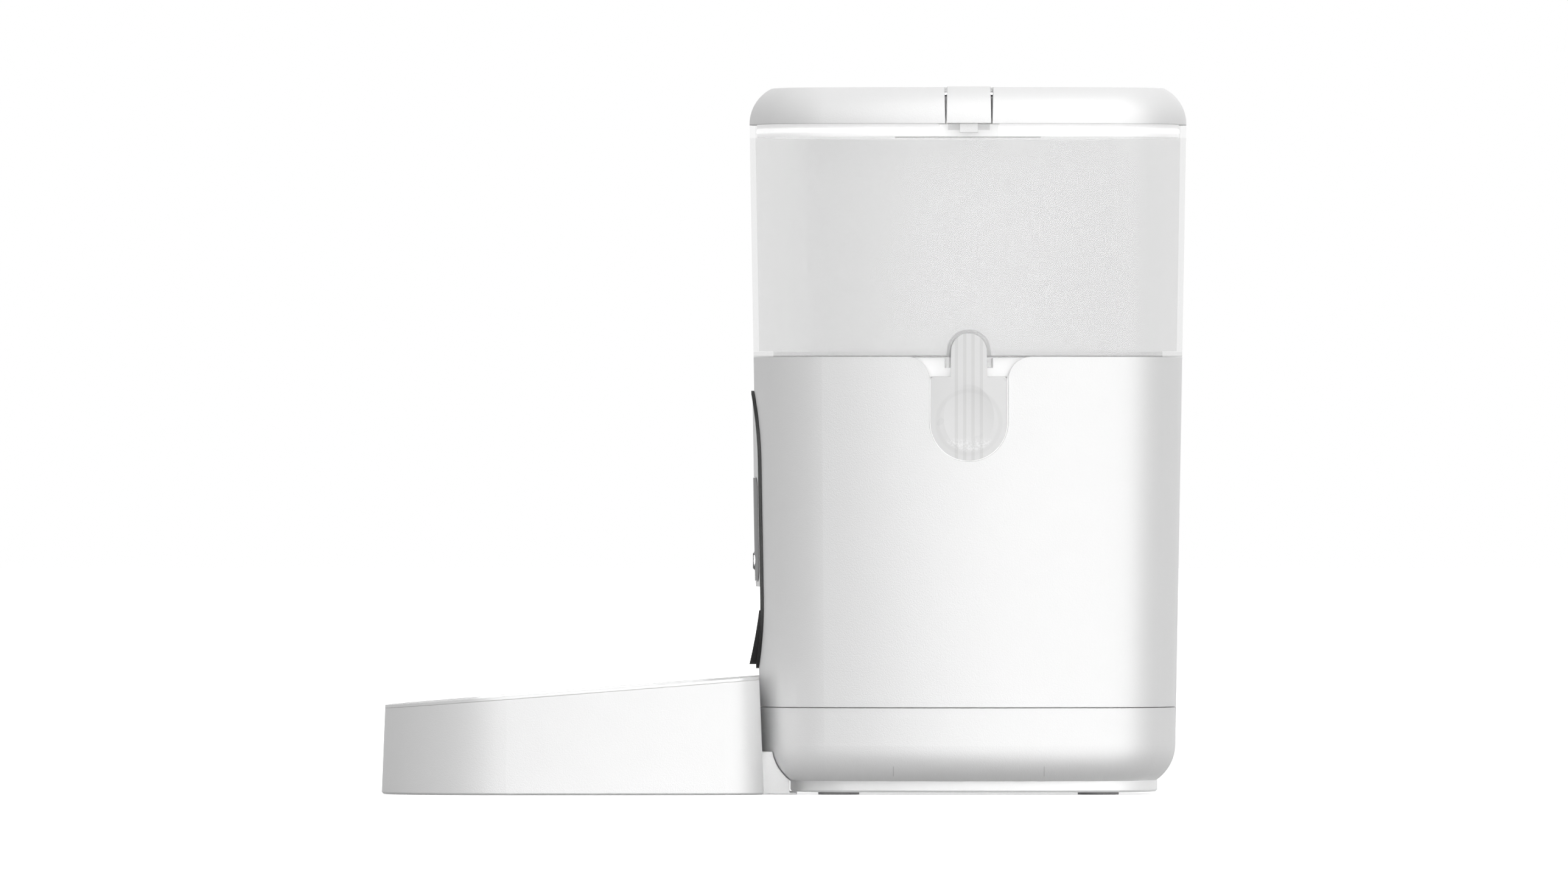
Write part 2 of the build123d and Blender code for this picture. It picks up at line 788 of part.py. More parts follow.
def chute_spout():
    """Dark trough round the mouth: a back plate, a liner and a lip that stands over the bowl."""
    outer_low = panel_low_z + ring_width + seam_gap
    outer = stadium(spout_half_width, outer_low, panel_high_z)
    inner = stadium(spout_half_width - spout_wall, outer_low + spout_wall, panel_high_z)
    near = chute_end_y + seam_gap
    inside = form(split_z, body_top_z, shell_wall + seam_gap)
    height = chute_end_high_z - chute_end_low_z
    duct_end = Pos(0, chute_end_low_z + height / 2) * Rectangle(2 * chute_half_width, height)
    back = outer & below(mouth_top_z + spout_wall)
    plate = front_prism(back - duct_end, near, near + spout_wall) & inside
    liner = front_prism(back - (inner & below(mouth_top_z)), near) & inside
    trough = (outer - inner) & below(spout_top_z)
    lip = front_prism(trough, near) & side_prism(spout_profile(near), -far / 4, far / 4)
    return plate + liner + lip


def below(z):
    """Everything below a height, in a front view."""
    return Pos(0, z - far / 2) * Rectangle(far, far)


def spout_profile(near):
    """Side view of the spout, with a hollow curve down its front edge."""
    top = (-spout_reach_top, spout_top_z)
    foot = (-spout_reach_bottom, panel_low_z)
    middle_y = -(spout_reach_top + spout_reach_bottom) / 2 + spout_hollow
    middle = (middle_y, (spout_top_z + panel_low_z) / 2)
    rest = Polyline(foot, (-near, panel_low_z), (-near, spout_top_z), top)
    return make_face(ThreePointArc(top, middle, foot) + rest)


def dosing_drum():
    """Drum with a floor, an outlet to the front, a flange and a bore for the shaft."""
    drum = rod(drum_outer_radius, drum_floor_z, drum_top_z)
    drum += rod(drum_outer_radius + drum_flange, deck_z + deck_thickness, deck_z + 2 * deck_thickness)
    drum -= rod(drum_radius, outlet_z, drum_top_z + 1)
    drum -= sector(outlet_inner_radius, drum_radius - 2, outlet_half_angle, drum_floor_z - 1, outlet_z + 1)
    drum -= portion_baffle()
    return drum - rod(shaft_radius + run_gap, 0, far)


def portion_baffle():
    """Soft plate over the outlet, set in a groove of the drum, so that food can't fall straight through."""
    radius = drum_radius + baffle_groove
    return sector(hub_radius + 2, radius, baffle_half_angle, baffle_z, baffle_z + baffle_thickness)


def rotor_wheel():
    """Paddle wheel: hub, vanes and a cap that stirs the food."""
    low_z = outlet_z + seam_gap
    wheel = rod(hub_radius, low_z, rotor_top_z)
    reach = drum_radius - rotor_gap
    for vane in range(rotor_vanes):
        blade = box(0, reach, -vane_thickness / 2, vane_thickness / 2, low_z, rotor_top_z)
        wheel += Rot(0, 0, 360 / rotor_vanes * (vane + 0.5)) * blade
    cap = Pos(0, 0, rotor_top_z + hub_cap_height / 2) * Cone(hub_radius, hub_radius * 0.4, hub_cap_height)
    bore = drive_shaft_core(low_z - 1, rotor_top_z - 2)
    return wheel + cap - bore


def drive_shaft_core(low_z, high_z):
    """Shaft with one flat, as the rotor and the output gear fit it."""
    flat = box(shaft_radius * 0.7, far, -far, far, low_z - 1, high_z + 1)
    return rod(shaft_radius, low_z, high_z) - flat


def drive_shaft():
    top_z = rotor_top_z - 2
    low_z = gearbox_z + seam_gap
    shaft = rod(shaft_radius, low_z, outlet_z + seam_gap)
    return shaft + drive_shaft_core(outlet_z + seam_gap, top_z)


# Gear train
def gear(teeth, module, low_z, width, y, phase):
    """Spur gear with straight flanks, one tooth centred at the phase angle."""
    pitch_radius = module * teeth / 2
    root = pitch_radius - 1.25 * module
    tip = pitch_radius + 0.95 * module
    step = 360 / teeth
    flank = ((-0.32, root), (-0.11, tip), (0.11, tip), (0.32, root))
    points = []
    for tooth in range(teeth):
        for share, radius in flank:
            angle = radians(phase + (tooth + share) * step)
            points.append((radius * cos(angle), radius * sin(angle)))
    outline = make_face(Polyline(*points, close=True))
    return extrude(Pos(0, y, low_z) * outline, width)


def output_gear():
    wheel = gear(output_teeth, gear_module, output_gear_z, gear_width, 0, 90)
    return wheel - rod(shaft_radius, 0, far)


def idler_gear():
    small_phase = 180 / idler_small_teeth - 90
    low_z = output_gear_z - gear_gap
    small = gear(idler_small_teeth, gear_module, low_z, gear_width + 2 * gear_gap, idler_y, small_phase)
    large = gear(idler_large_teeth, fine_module, fine_gear_z, fine_gear_width, idler_y, 90)
    return small + large - rod(idler_pin_radius + run_gap, 0, far, 0, idler_y)


def motor_pinion():
    phase = 180 / pinion_teeth - 90
    pinion = gear(pinion_teeth, fine_module, fine_gear_z, fine_gear_width + gear_gap, pinion_y, phase)
    return pinion + rod(motor_shaft_radius, gearbox_z - 4, fine_gear_z, 0, pinion_y)


def gearbox_form(inset, low_z, high_z):
    """Block round the gears from the output gear to the motor, with round ends."""
    half = gear_module * (output_teeth / 2 + 1) + gear_gap + gearbox_wall - inset
    block = rod(half, low_z, high_z)
    end_y = pinion_y + motor_radius - inset
    return block + box(-half, half, 0, end_y, low_z, high_z)


def gearbox_case():
    """Tray under the gears, with bores for the drive shaft and the motor's shaft."""
    case = gearbox_form(0, gearbox_z, gearbox_top_z)
    case -= gearbox_form(gearbox_wall, gearbox_z + gearbox_wall, far)
    case -= rod(shaft_radius + run_gap, 0, far)
    return case - rod(motor_shaft_radius + run_gap, 0, far, 0, pinion_y)


def gearbox_lid():
    """Cover of the gearbox with three pillars that hang it from the drum."""
    lid = gearbox_form(0, gearbox_top_z, gearbox_top_z + gearbox_cover)
    for x, y in pillar_places():
        lid += post(pillar_width, gearbox_top_z + gearbox_cover, drum_floor_z, x, y)
    return lid - rod(shaft_radius + run_gap, 0, far)


def pillar_places():
    spread = gear_module * output_teeth * 0.4
    return [(-spread, 6.0), (spread, 6.0), (0.0, idler_y + 4)]


def idler_pin():
    return rod(idler_pin_radius, gearbox_z + gearbox_wall, gearbox_top_z, 0, idler_y)


def motor():
    """Round motor under the gearbox, with a bearing boss."""
    can = rod(motor_radius, gearbox_z - motor_length, gearbox_z, 0, pinion_y)
    return can - rod(motor_shaft_radius + run_gap, gearbox_z - 5, far, 0, pinion_y)


# Frame and base
def hopper_frame():
    """Deck that carries the drum, the wall round the tank's foot, its collar, and four legs."""
    top_z = body_top_z - slide_gap
    ring = plan(frame_inset) - plan(frame_inset + frame_wall)
    frame = extrude(Pos(0, 0, deck_z) * ring, top_z - deck_z)
    deck = extrude(Pos(0, 0, deck_z) * plan(frame_inset + frame_wall / 2), deck_thickness)
    frame += deck - rod(drum_outer_radius + seam_gap, 0, far)
    window_low = notch_centre_z - notch_half_width - 6
    half = frame_window / 2
    frame -= box(-far, far, -half, half, window_low, collar_z)
    notch = collar_notch_width / 2
    frame -= box(-far, far, -notch, notch, top_z - collar_notch_depth, far)
    clear_x = front_board_width / 2 + rail_width + 2
    frame -= box(-clear_x, clear_x, -far, -front_board_y + 2 * rail_width, 0, front_board_high_z + 4)
    for x, y in leg_places():
        frame += post(leg_width, leg_joint_z, deck_z, x, y)
    return frame


def leg_places():
    places = []
    for x in (-leg_x, leg_x):
        for y in (-leg_y, leg_y):
            places.append((x, y))
    return places


def base_form(inset, low_z):
    """Tapered base with a large curve at its foot, cut off at low_z."""
    curve_z = base_curve_start_z - base_curve_radius + inset
    block = form(curve_z, split_z, inset)
    block = fillet(block.faces().sort_by(Axis.Z)[0].edges(), base_curve_radius - inset)
    return block & box(-far, far, -far, far, low_z, split_z)


def base_void():
    """Hollow of the base, with a sloping foot that follows the curve outside."""
    block = form(base_floor_z + shell_wall, split_z, shell_wall)
    return chamfer(block.faces().sort_by(Axis.Z)[0].edges(), base_curve_radius * 0.6)


def base_housing():
    base = base_form(0, base_floor_z) - base_void()
    for x, y in leg_places():
        base += post(leg_width, base_floor_z, leg_joint_z, x, y)
    outer_x = tray_half_x + tray_wall
    outer_y = tray_half_y + tray_wall
    base += box(-outer_x, outer_x, -outer_y, outer_y, base_floor_z, tray_top_z + tray_wall)
    base -= box(-tray_half_x, tray_half_x, -tray_half_y, tray_half_y, 0, tray_top_z)
    half_x = socket_width / 2 + seam_gap
    half_z = socket_height / 2 + seam_gap
    return base - box(-half_x, half_x, tray_half_y + 10, far, socket_z - half_z, socket_z + half_z)


def bottom_cover():
    """Plinth plate, open for the battery door."""
    outline = bowed_square(plinth_width / 2, plinth_depth / 2, side_radius, plinth_corner)
    cover = extrude(Pos(0, plinth_shift, foot_height) * outline, base_floor_z - foot_height)
    cover = chamfer(cover.edges().group_by(Axis.Z)[0], plinth_edge)
    cover -= box(-tray_half_x, tray_half_x, -tray_half_y, tray_half_y, 0, far)
    return cover


def foot_places():
    places = []
    for x in (-foot_spread_x / 2, foot_spread_x / 2):
        for y in (-foot_spread_y / 2, foot_spread_y / 2):
            places.append((x, y))
    return places


def rubber_feet():
    feet = []
    for x, y in foot_places():
        feet.append(rod(foot_radius, 0, foot_height, x, y))
    return Compound(feet)


def battery_door():
    """Flat door flush with the plinth, with finger grooves."""
    half_x = tray_half_x - seam_gap
    half_y = tray_half_y - seam_gap
    door = box(-half_x, half_x, -half_y, half_y, foot_height, foot_height + door_thickness)
    half = groove_length / 2
    for groove in range(1, door_grooves + 1):
        y = half_y - groove * groove_pitch - groove_width
        door -= box(-half, half, y, y + groove_width, 0, foot_height + door_thickness / 3)
    return door


def battery_cells():
    cells = []
    for place in range(cell_count):
        y = (place - (cell_count - 1) / 2) * (2 * cell_radius + cell_gap)
        cells.append(Pos(0, y, cell_z) * Rot(0, 90, 0) * Cylinder(cell_radius, cell_length))
    return Compound(cells)


def battery_contacts():
    """Sprung plates between the cells and the ends of the tray."""
    plates = []
    half = contact_width / 2
    for place in range(cell_count):
        y = (place - (cell_count - 1) / 2) * (2 * cell_radius + cell_gap)
        for side in (-1, 1):
            near = cell_length / 2 + 1.5 * cell_gap
            low_x, high_x = sorted((side * near, side * tray_half_x))
            low_z = cell_z - contact_height / 2
            plates.append(box(low_x, high_x, y - half, y + half, low_z, low_z + contact_height))
    return Compound(plates)


def speaker():
    y = -(tray_half_y + tray_wall + speaker_radius + seam_gap)
    low_z = base_floor_z + shell_wall
    return rod(speaker_radius, low_z, low_z + speaker_height, 0, y)


def power_socket():
    """Small socket in the rear wall of the base."""
    outer_y = front_y(socket_z, -socket_sunk)
    half_x = socket_width / 2
    half_z = socket_height / 2
    block = box(-half_x, half_x, outer_y - socket_depth, outer_y, socket_z - half_z, socket_z + half_z)
    slot = RectangleRounded(socket_slot_width, socket_slot_height, socket_slot_height / 2 - 0.05)
    slot = extrude(Plane.XZ.offset(-outer_y - 1) * Pos(0, socket_z) * slot, socket_depth - 1)
    return block - slot


# Bowl and its holder
def dish_plan(inset, rear_corner):
    """Outline of the dish from above: bowed front and sides, hollow rear."""
    middle_y = -(dish_reach + dish_rear_y) / 2
    outline = Pos(0, dish_front_bow - dish_reach) * Circle(dish_front_bow - inset)
    outline &= Pos(dish_side_bow - dish_half_width, middle_y) * Circle(dish_side_bow - inset)
    outline &= Pos(dish_half_width - dish_side_bow, middle_y) * Circle(dish_side_bow - inset)
    outline -= Pos(0, dish_rear_bow - dish_rear_y) * Circle(dish_rear_bow + inset)
    outline = fillet(outline.vertices().sort_by(Axis.Y)[:2], dish_front_corner - inset)
    return fillet(outline.vertices().sort_by(Axis.Y)[-2:], rear_corner)


def dish_form(inset=0.0, low_z=0.0):
    """Tall block of the dish, drawn in as it rises."""
    here = inset + low_z * tan(radians(dish_draft))
    outline = dish_plan(here, dish_rear_corner - here)
    return tapered(outline, low_z, dish_front_height * 2, dish_draft)


def above_rim(drop):
    """Everything above the sloping rim, lowered by drop."""
    block = Pos(0, 0, far / 2) * Box(2 * far, 2 * far, far)
    return Pos(0, -dish_reach, dish_front_height - drop) * Rot(dish_slope, 0, 0) * block


def bowl_holder():
    """Open shell with a tongue at its rear, shaped to the base, that slides under the plinth."""
    shell = dish_form()
    shell = chamfer(shell.edges().group_by(Axis.Z)[0], dish_edge)
    shell -= above_rim(bowl_lip + run_gap)
    shell -= dish_form(dish_wall, dish_floor)
    plinth_front = plinth_depth / 2 - plinth_shift + seam_gap
    half = dock_half_width
    tongue = box(-half, half, -dish_rear_y - 1.2, -plinth_front, 0, dock_height)
    tongue -= base_form(-slide_gap, base_floor_z - slide_gap)
    lip = box(-half, half, -plinth_front - 1, dock_lip_length - plinth_front, 0, dock_lip_height)
    return shell + tongue + lip


def bowl_hollow(inset, floor_z):
    """Block with slanting sides, taller than the rim."""
    outline = dish_plan(bowl_floor_inset + inset, bowl_rear_corner - inset)
    return tapered(outline, floor_z, dish_front_height * 2, -bowl_slant)


def food_bowl():
    """Bowl with a flat lip that covers the wall of the holder."""
    lip = dish_form() - above_rim(0)
    lip &= above_rim(bowl_lip)
    bowl = bowl_hollow(-bowl_thickness, bowl_floor_z - bowl_thickness)
    bowl = chamfer(bowl.edges().group_by(Axis.Z)[0], bowl_round / 2) - above_rim(bowl_lip / 2)
    hollow = bowl_hollow(0, bowl_floor_z)
    return lip + bowl - fillet(hollow.edges().group_by(Axis.Z)[0], bowl_round)


right_hand = {
    "latch_right": latch(),
    "latch_pin_right": latch_pin(),
    "release_tab_right": release_tab(),
}

pieces = {
    "base_housing": base_housing(),
    "bottom_cover": bottom_cover(),
    "rubber_feet": rubber_feet(),
    "battery_door": battery_door(),
    "battery_cells": battery_cells(),
    "battery_contacts": battery_contacts(),
    "power_socket": power_socket(),
    "speaker": speaker(),
    "body_shell": body_shell(),
    "hopper_frame": hopper_frame(),
    "dosing_drum": dosing_drum(),
    "portion_baffle": portion_baffle(),
    "rotor_wheel": rotor_wheel(),
    "drive_shaft": drive_shaft(),
    "gearbox_case": gearbox_case(),
    "gearbox_lid": gearbox_lid(),
    "output_gear": output_gear(),
    "idler_gear": idler_gear(),
    "idler_pin": idler_pin(),
    "motor": motor(),
    "motor_pinion": motor_pinion(),
    "food_chute": food_chute(),
    "chute_spout": chute_spout(),
    "front_ring": front_ring(),
    "faceplate": faceplate(),
    "display_window": display_window(),
    "button_bezel": button_bezel(),
    "chrome_ring": chrome_ring(),
    "feed_button": feed_button(),
    "front_board": front_board(),
    "indicator_lights": indicator_lights(),
    "main_board": main_board(),
    "tank": tank(),
    "lid_shell": lid_shell(),
    "lid_liner": lid_liner(),
    "lid_seal": lid_seal(),
    "desiccant_pocket": desiccant_pocket(),
    "desiccant_door": desiccant_door(),
    "bowl_holder": bowl_holder(),
    "food_bowl": food_bowl(),
}

for name, shape in right_hand.items():
    pieces[name] = shape
    pieces[name.replace("right", "left")] = mirror(shape, Plane.YZ)

for name, shape in pieces.items():
    export_step(Pos(0, body_shift, 0) * shape, f"parts/{name}.step")
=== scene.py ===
# %% [markdown]
# # A smart pet feeder, dressed and lit for a catalogue photograph
#
# The feeder's pieces come from a CAD model, already in place and in metres. In this lesson you load
# them, give each one a procedural material, add a few strips of painted highlight and painted shade
# that CAD leaves out, and then build the light, the white studio and the camera that a product
# photographer would use.
#
# The feeder faces **-Y**, and the picture is taken from its right-hand side, so the camera stands
# on **+X** and the bowl points to the left of the picture.

# %% Load the CAD pieces
import json
import math

import bpy
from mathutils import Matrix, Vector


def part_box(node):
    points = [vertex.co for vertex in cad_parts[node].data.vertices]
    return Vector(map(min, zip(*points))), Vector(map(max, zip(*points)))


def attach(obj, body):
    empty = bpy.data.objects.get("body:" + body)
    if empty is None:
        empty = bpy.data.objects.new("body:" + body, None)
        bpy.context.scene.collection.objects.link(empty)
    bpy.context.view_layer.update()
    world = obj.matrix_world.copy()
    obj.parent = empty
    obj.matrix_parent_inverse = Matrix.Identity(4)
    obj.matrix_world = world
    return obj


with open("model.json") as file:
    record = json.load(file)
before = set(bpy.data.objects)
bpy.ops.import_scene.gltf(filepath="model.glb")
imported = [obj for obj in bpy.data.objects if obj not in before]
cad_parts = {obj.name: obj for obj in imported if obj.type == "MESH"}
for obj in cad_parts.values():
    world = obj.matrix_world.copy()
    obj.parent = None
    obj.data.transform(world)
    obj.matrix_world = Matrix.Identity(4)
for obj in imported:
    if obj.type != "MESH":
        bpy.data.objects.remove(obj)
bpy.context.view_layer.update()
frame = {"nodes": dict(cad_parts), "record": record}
nodes = frame["nodes"]

# %% [markdown]
# ## Smooth shading
#
# A mesh made from CAD is a set of flat facets. Smooth shading blends the light across them, but it
# must stop at real edges, or a box would look like a pillow. `shade_smooth_by_angle` keeps every
# edge sharper than the given angle crisp. The finger dimple of a release tab meets the flat around
# it at only a few degrees, so the tabs take a much smaller angle.

# %% Shade by angle
plain_angle, shallow_angle = 30, 4
for name, piece in nodes.items():
    angle = shallow_angle if name.startswith("release_tab") else plain_angle
    bpy.context.view_layer.objects.active = piece
    piece.select_set(True)
    bpy.ops.object.shade_smooth_by_angle(angle=math.radians(angle))
    piece.select_set(False)
print("shaded", len(nodes), "pieces")

# %% [markdown]
# ## A small kit for materials
#
# Every material here is a Principled shader fed by noise. Real mouldings are never perfectly even:
# the gloss drifts a little across the surface, and the skin has a very fine grain. One function
# builds that for any plastic, so that each material below is only a short list of choices.
# Constants go on the shader's own sockets, and the noise changes them by a few per cent.


# %% Materials and noise
def new_material(name):
    """A material with a Principled shader linked to its output, and those parts of it."""
    material = bpy.data.materials.new(name)
    material.use_nodes = True
    tree = material.node_tree
    tree.nodes.clear()
    output = tree.nodes.new("ShaderNodeOutputMaterial")
    shader = tree.nodes.new("ShaderNodeBsdfPrincipled")
    tree.links.new(shader.outputs["BSDF"], output.inputs["Surface"])
    return material, tree, shader, output


def find_node(tree, kind):
    """The first node of a kind, such as the shader that new_material made."""
    return next(node for node in tree.nodes if node.type == kind)


def noise(tree, scale, detail=4.0):
    """Noise measured in object space, so that it stays on the piece when the piece moves."""
    place = tree.nodes.new("ShaderNodeTexCoord")
    texture = tree.nodes.new("ShaderNodeTexNoise")
    texture.inputs["Scale"].default_value = scale
    texture.inputs["Detail"].default_value = detail
    tree.links.new(place.outputs["Object"], texture.inputs["Vector"])
    return texture.outputs["Fac"]


def spread(tree, value, low, high):
    """Maps a 0 to 1 value to the range from low to high."""
    ranged = tree.nodes.new("ShaderNodeMapRange")
    ranged.inputs["To Min"].default_value = low
    ranged.inputs["To Max"].default_value = high
    tree.links.new(value, ranged.inputs["Value"])
    return ranged.outputs["Result"]


print("helpers for materials and noise ready")


# %% Masks made from coordinates
def coordinate(tree, axis):
    """One coordinate of the point in object space, which for a CAD piece is its place in metres."""
    place = tree.nodes.new("ShaderNodeTexCoord")
    split = tree.nodes.new("ShaderNodeSeparateXYZ")
    tree.links.new(place.outputs["Object"], split.inputs["Vector"])
    return split.outputs[axis]


def calculate(tree, operation, first, second=0.0):
    """A Math node: each operand is a number or a socket."""
    node = tree.nodes.new("ShaderNodeMath")
    node.operation = operation
    for socket, value in zip(node.inputs, (first, second)):
        if isinstance(value, (int, float)):
            socket.default_value = value
        else:
            tree.links.new(value, socket)
    return node.outputs["Value"]


def ease(tree, value, start, end):
    """0 before the start, 1 after the end, and smooth between them."""
    node = tree.nodes.new("ShaderNodeMapRange")
    node.interpolation_type = "SMOOTHSTEP"
    node.inputs["From Min"].default_value = start
    node.inputs["From Max"].default_value = end
    tree.links.new(value, node.inputs["Value"])
    return node.outputs["Result"]


def band(tree, value, low, high, soft):
    """1 between low and high, and 0 outside them, with soft edges."""
    rise = ease(tree, value, low - soft, low)
    fall = ease(tree, value, high + soft, high)
    return calculate(tree, "MULTIPLY", rise, fall)


def shade(material, mask, factor):
    """Multiplies the base colour by the factor where the mask is 1."""
    tree = material.node_tree
    socket = find_node(tree, "BSDF_PRINCIPLED").inputs["Base Color"]
    before = socket.links[0].from_socket
    mix = tree.nodes.new("ShaderNodeMixRGB")
    mix.blend_type = "MULTIPLY"
    mix.inputs["Color2"].default_value = (factor, factor, factor, 1)
    tree.links.new(mask, mix.inputs["Fac"])
    tree.links.new(before, mix.inputs["Color1"])
    tree.links.new(mix.outputs["Color"], socket)


print("helpers for masks ready")

# %% The plastic builder
cloud_scale, gloss_scale, gloss_drift = 35.0, 90.0, 0.07
grain_height, bevel_samples = 0.0002, 4
edge_dot_flat, edge_dot_sharp = 0.985, 0.90


def plastic(
    name, color, roughness, grain=0.02, tint=0.01, metallic=0.0, specular=0.5,
    edge_highlight=0.0003, edge_shade=1.0, pebble=2600.0,
):
    """Moulded plastic, rubber or metal with uneven gloss, a faint change of tone and a fine grain.

    Edges are rounded by a Bevel node. Where its normal leaves the true one, the colour is multiplied
    by edge_shade: a painted shade line along the edges, where the rounded edge turns from the light.
    """
    material, tree, shader, _ = new_material(name)
    shader.inputs["Metallic"].default_value = metallic
    shader.inputs["Specular IOR Level"].default_value = specular
    cloud = noise(tree, cloud_scale, 2.0)
    ramp = tree.nodes.new("ShaderNodeMixRGB")
    ramp.inputs["Color1"].default_value = [c * (1 - tint) for c in color] + [1]
    ramp.inputs["Color2"].default_value = [min(1, c * (1 + tint)) for c in color] + [1]
    tree.links.new(cloud, ramp.inputs["Fac"])
    tree.links.new(ramp.outputs["Color"], shader.inputs["Base Color"])
    least, most = roughness * (1 - gloss_drift), roughness * (1 + gloss_drift)
    gloss = spread(tree, noise(tree, gloss_scale), least, most)
    tree.links.new(gloss, shader.inputs["Roughness"])
    bevel = tree.nodes.new("ShaderNodeBevel")
    bevel.samples = bevel_samples
    bevel.inputs["Radius"].default_value = edge_highlight
    bump = tree.nodes.new("ShaderNodeBump")
    bump.inputs["Strength"].default_value = grain
    bump.inputs["Distance"].default_value = grain_height
    tree.links.new(noise(tree, pebble, 2.0), bump.inputs["Height"])
    tree.links.new(bevel.outputs["Normal"], bump.inputs["Normal"])
    tree.links.new(bump.outputs["Normal"], shader.inputs["Normal"])
    # Painted shade: the colour is darkened along edges, where the bevelled normal turns away.
    if edge_shade < 1:
        geometry = tree.nodes.new("ShaderNodeNewGeometry")
        dot = tree.nodes.new("ShaderNodeVectorMath")
        dot.operation = "DOT_PRODUCT"
        tree.links.new(geometry.outputs["Normal"], dot.inputs[0])
        tree.links.new(bevel.outputs["Normal"], dot.inputs[1])
        edge_shade_mask = ease(tree, dot.outputs["Value"], edge_dot_flat, edge_dot_sharp)
        shade(material, edge_shade_mask, edge_shade)
    return material


def satin_white(name, tone=0.90, roughness=0.42, edge_highlight=0.0005, edge_shade=0.72):
    """The fine-grained white of the outer shells, with a painted shade line along their edges."""
    color = (tone, tone, tone)
    return plastic(name, color, roughness, grain=0.36, edge_highlight=edge_highlight, edge_shade=edge_shade, pebble=2000.0)


print("plastic builder ready")

# %% Thin walls that glow or let light through
glance_start, glance_full = 0.05, 0.7


def glowing(material, strength):
    """Painted light: a glow that stands in for light soaking through a thin white wall from the bright
    paper around it, and on the tab edge strips for a highlight.
    """
    shader = find_node(material.node_tree, "BSDF_PRINCIPLED")
    shader.inputs["Emission Color"].default_value = (1, 1, 1, 1)
    shader.inputs["Emission Strength"].default_value = strength
    return material


def see_through(material, share, edge_share=None, tone=1.0):
    """Lets a share of the light straight through, as a thin frosted wall does.

    Where the wall is seen at a glancing angle, the share goes over to edge_share.
    """
    tree = material.node_tree
    output = find_node(tree, "OUTPUT_MATERIAL")
    shader = find_node(tree, "BSDF_PRINCIPLED")
    clear = tree.nodes.new("ShaderNodeBsdfTransparent")
    clear.inputs["Color"].default_value = (tone, tone, tone, 1)
    weight = tree.nodes.new("ShaderNodeLayerWeight")
    facing = calculate(tree, "SQRT", weight.outputs["Facing"])
    glance = ease(tree, facing, glance_start, glance_full)
    mix = tree.nodes.new("ShaderNodeMixShader")
    mix.name = "see through"
    glance_share = spread(tree, glance, share, edge_share or share)
    tree.links.new(glance_share, mix.inputs["Fac"])
    tree.links.new(shader.outputs["BSDF"], mix.inputs[1])
    tree.links.new(clear.outputs["BSDF"], mix.inputs[2])
    tree.links.new(mix.outputs["Shader"], output.inputs["Surface"])
    return material


print("thin walls ready")

# %% [markdown]
# ## One material for each kind of surface
#
# The body and the lid share one satin white. The tank is a smoked, frosted plastic: thin walls let
# some light through, and the white skirt of the lid shows behind its rim. The display window is
# dark but not black. The bowl's inner shell is glossier than its holder.

# %% Make the materials
white = satin_white("white_shell")
inner = plastic("inner_plastic", (0.80, 0.80, 0.79), 0.55, grain=0.05)
tank_tone = 0.98
tank_skin = plastic("smoke_clear", (0.815, 0.815, 0.815), 0.22, grain=0.01, tint=0.004)
tank_skin = see_through(tank_skin, 0.765, edge_share=0.88, tone=tank_tone)
window_skin = plastic("smoke_window", (0.13, 0.13, 0.132), 0.3, grain=0.004, specular=0.25)
dark = plastic("dark_trim", (0.03, 0.03, 0.03), 0.6, grain=0.05, specular=0.2)
bowl_skin = plastic("bowl_plastic", (0.86, 0.86, 0.86), 0.24, grain=0.01)
chrome = plastic("chrome_trim", (0.88, 0.88, 0.89), 0.08, grain=0.0, metallic=1.0)
rubber = plastic("foot_rubber", (0.30, 0.30, 0.30), 0.75, grain=0.12)
seal_skin = see_through(plastic("soft_seal", (0.9, 0.9, 0.9), 0.45, grain=0.02), 0.3)
rotor_skin = plastic("rotor_soft", (0.24, 0.26, 0.27), 0.6, grain=0.06)
gear_skin = plastic("gear_plastic", (0.80, 0.77, 0.66), 0.5, grain=0.03)
steel = plastic("steel", (0.58, 0.58, 0.59), 0.3, grain=0.02, metallic=1.0)
motor_skin = plastic("motor_steel", (0.62, 0.62, 0.63), 0.35, grain=0.03, metallic=1.0)
board = plastic("board_green", (0.03, 0.17, 0.09), 0.4, grain=0.05, tint=0.1)
lens = see_through(plastic("light_lens", (0.85, 0.87, 0.85), 0.3), 0.4)
jacket = plastic("cell_jacket", (0.13, 0.15, 0.17), 0.3, grain=0.01)
skins = {
    "white_shell": white,
    "inner_plastic": inner,
    "smoke_clear": tank_skin,
    "smoke_window": window_skin,
    "dark_trim": dark,
    "bowl_plastic": bowl_skin,
    "chrome_trim": chrome,
    "foot_rubber": rubber,
    "soft_seal": seal_skin,
    "rotor_soft": rotor_skin,
    "gear_plastic": gear_skin,
    "steel": steel,
    "motor_steel": motor_skin,
    "board_green": board,
    "light_lens": lens,
    "cell_jacket": jacket,
}
for entry in frame["record"]["subparts"]:
    piece = nodes[entry["node"]]
    piece.data.materials.clear()
    piece.data.materials.append(skins[entry["material_slot"]])
print(len(skins), "materials on", len(nodes), "pieces")

# %% [markdown]
# ## Places that need more than one flat tone
#
# Some details of a moulding are too shallow for their light and shade to show, and others are seen
# through a clear wall. A mask made from the point's own coordinates puts them in the material:
#
# - the tank is clearest in a band at its rim, and darker along its shoulder, where the light runs
#   lengthways through the step, with a line of painted shade in the seam where it sits on the body;
# - the four ribs behind each release tab show through as darker stripes, and its finger dimple has a
#   ring of painted shade round its edge and a painted highlight, broken into specks, at its foot;
# - the base has two short upright marks near its foot, on each side;
# - the skirt and seal of the lid, the collar and the plinth are thin and white, and glow a little,
#   which stands in for the light of the paper soaking through them.

# %% Heights on the tank
def height_of(name, end):
    """Lowest (0) or highest (1) point of a CAD piece."""
    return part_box(name)[end][2]


body_top = height_of("body_shell", 1)
rim_top = height_of("tank", 1)
skirt_low = height_of("lid_liner", 0)
print("body top", round(body_top, 4), "rim top", round(rim_top, 4))

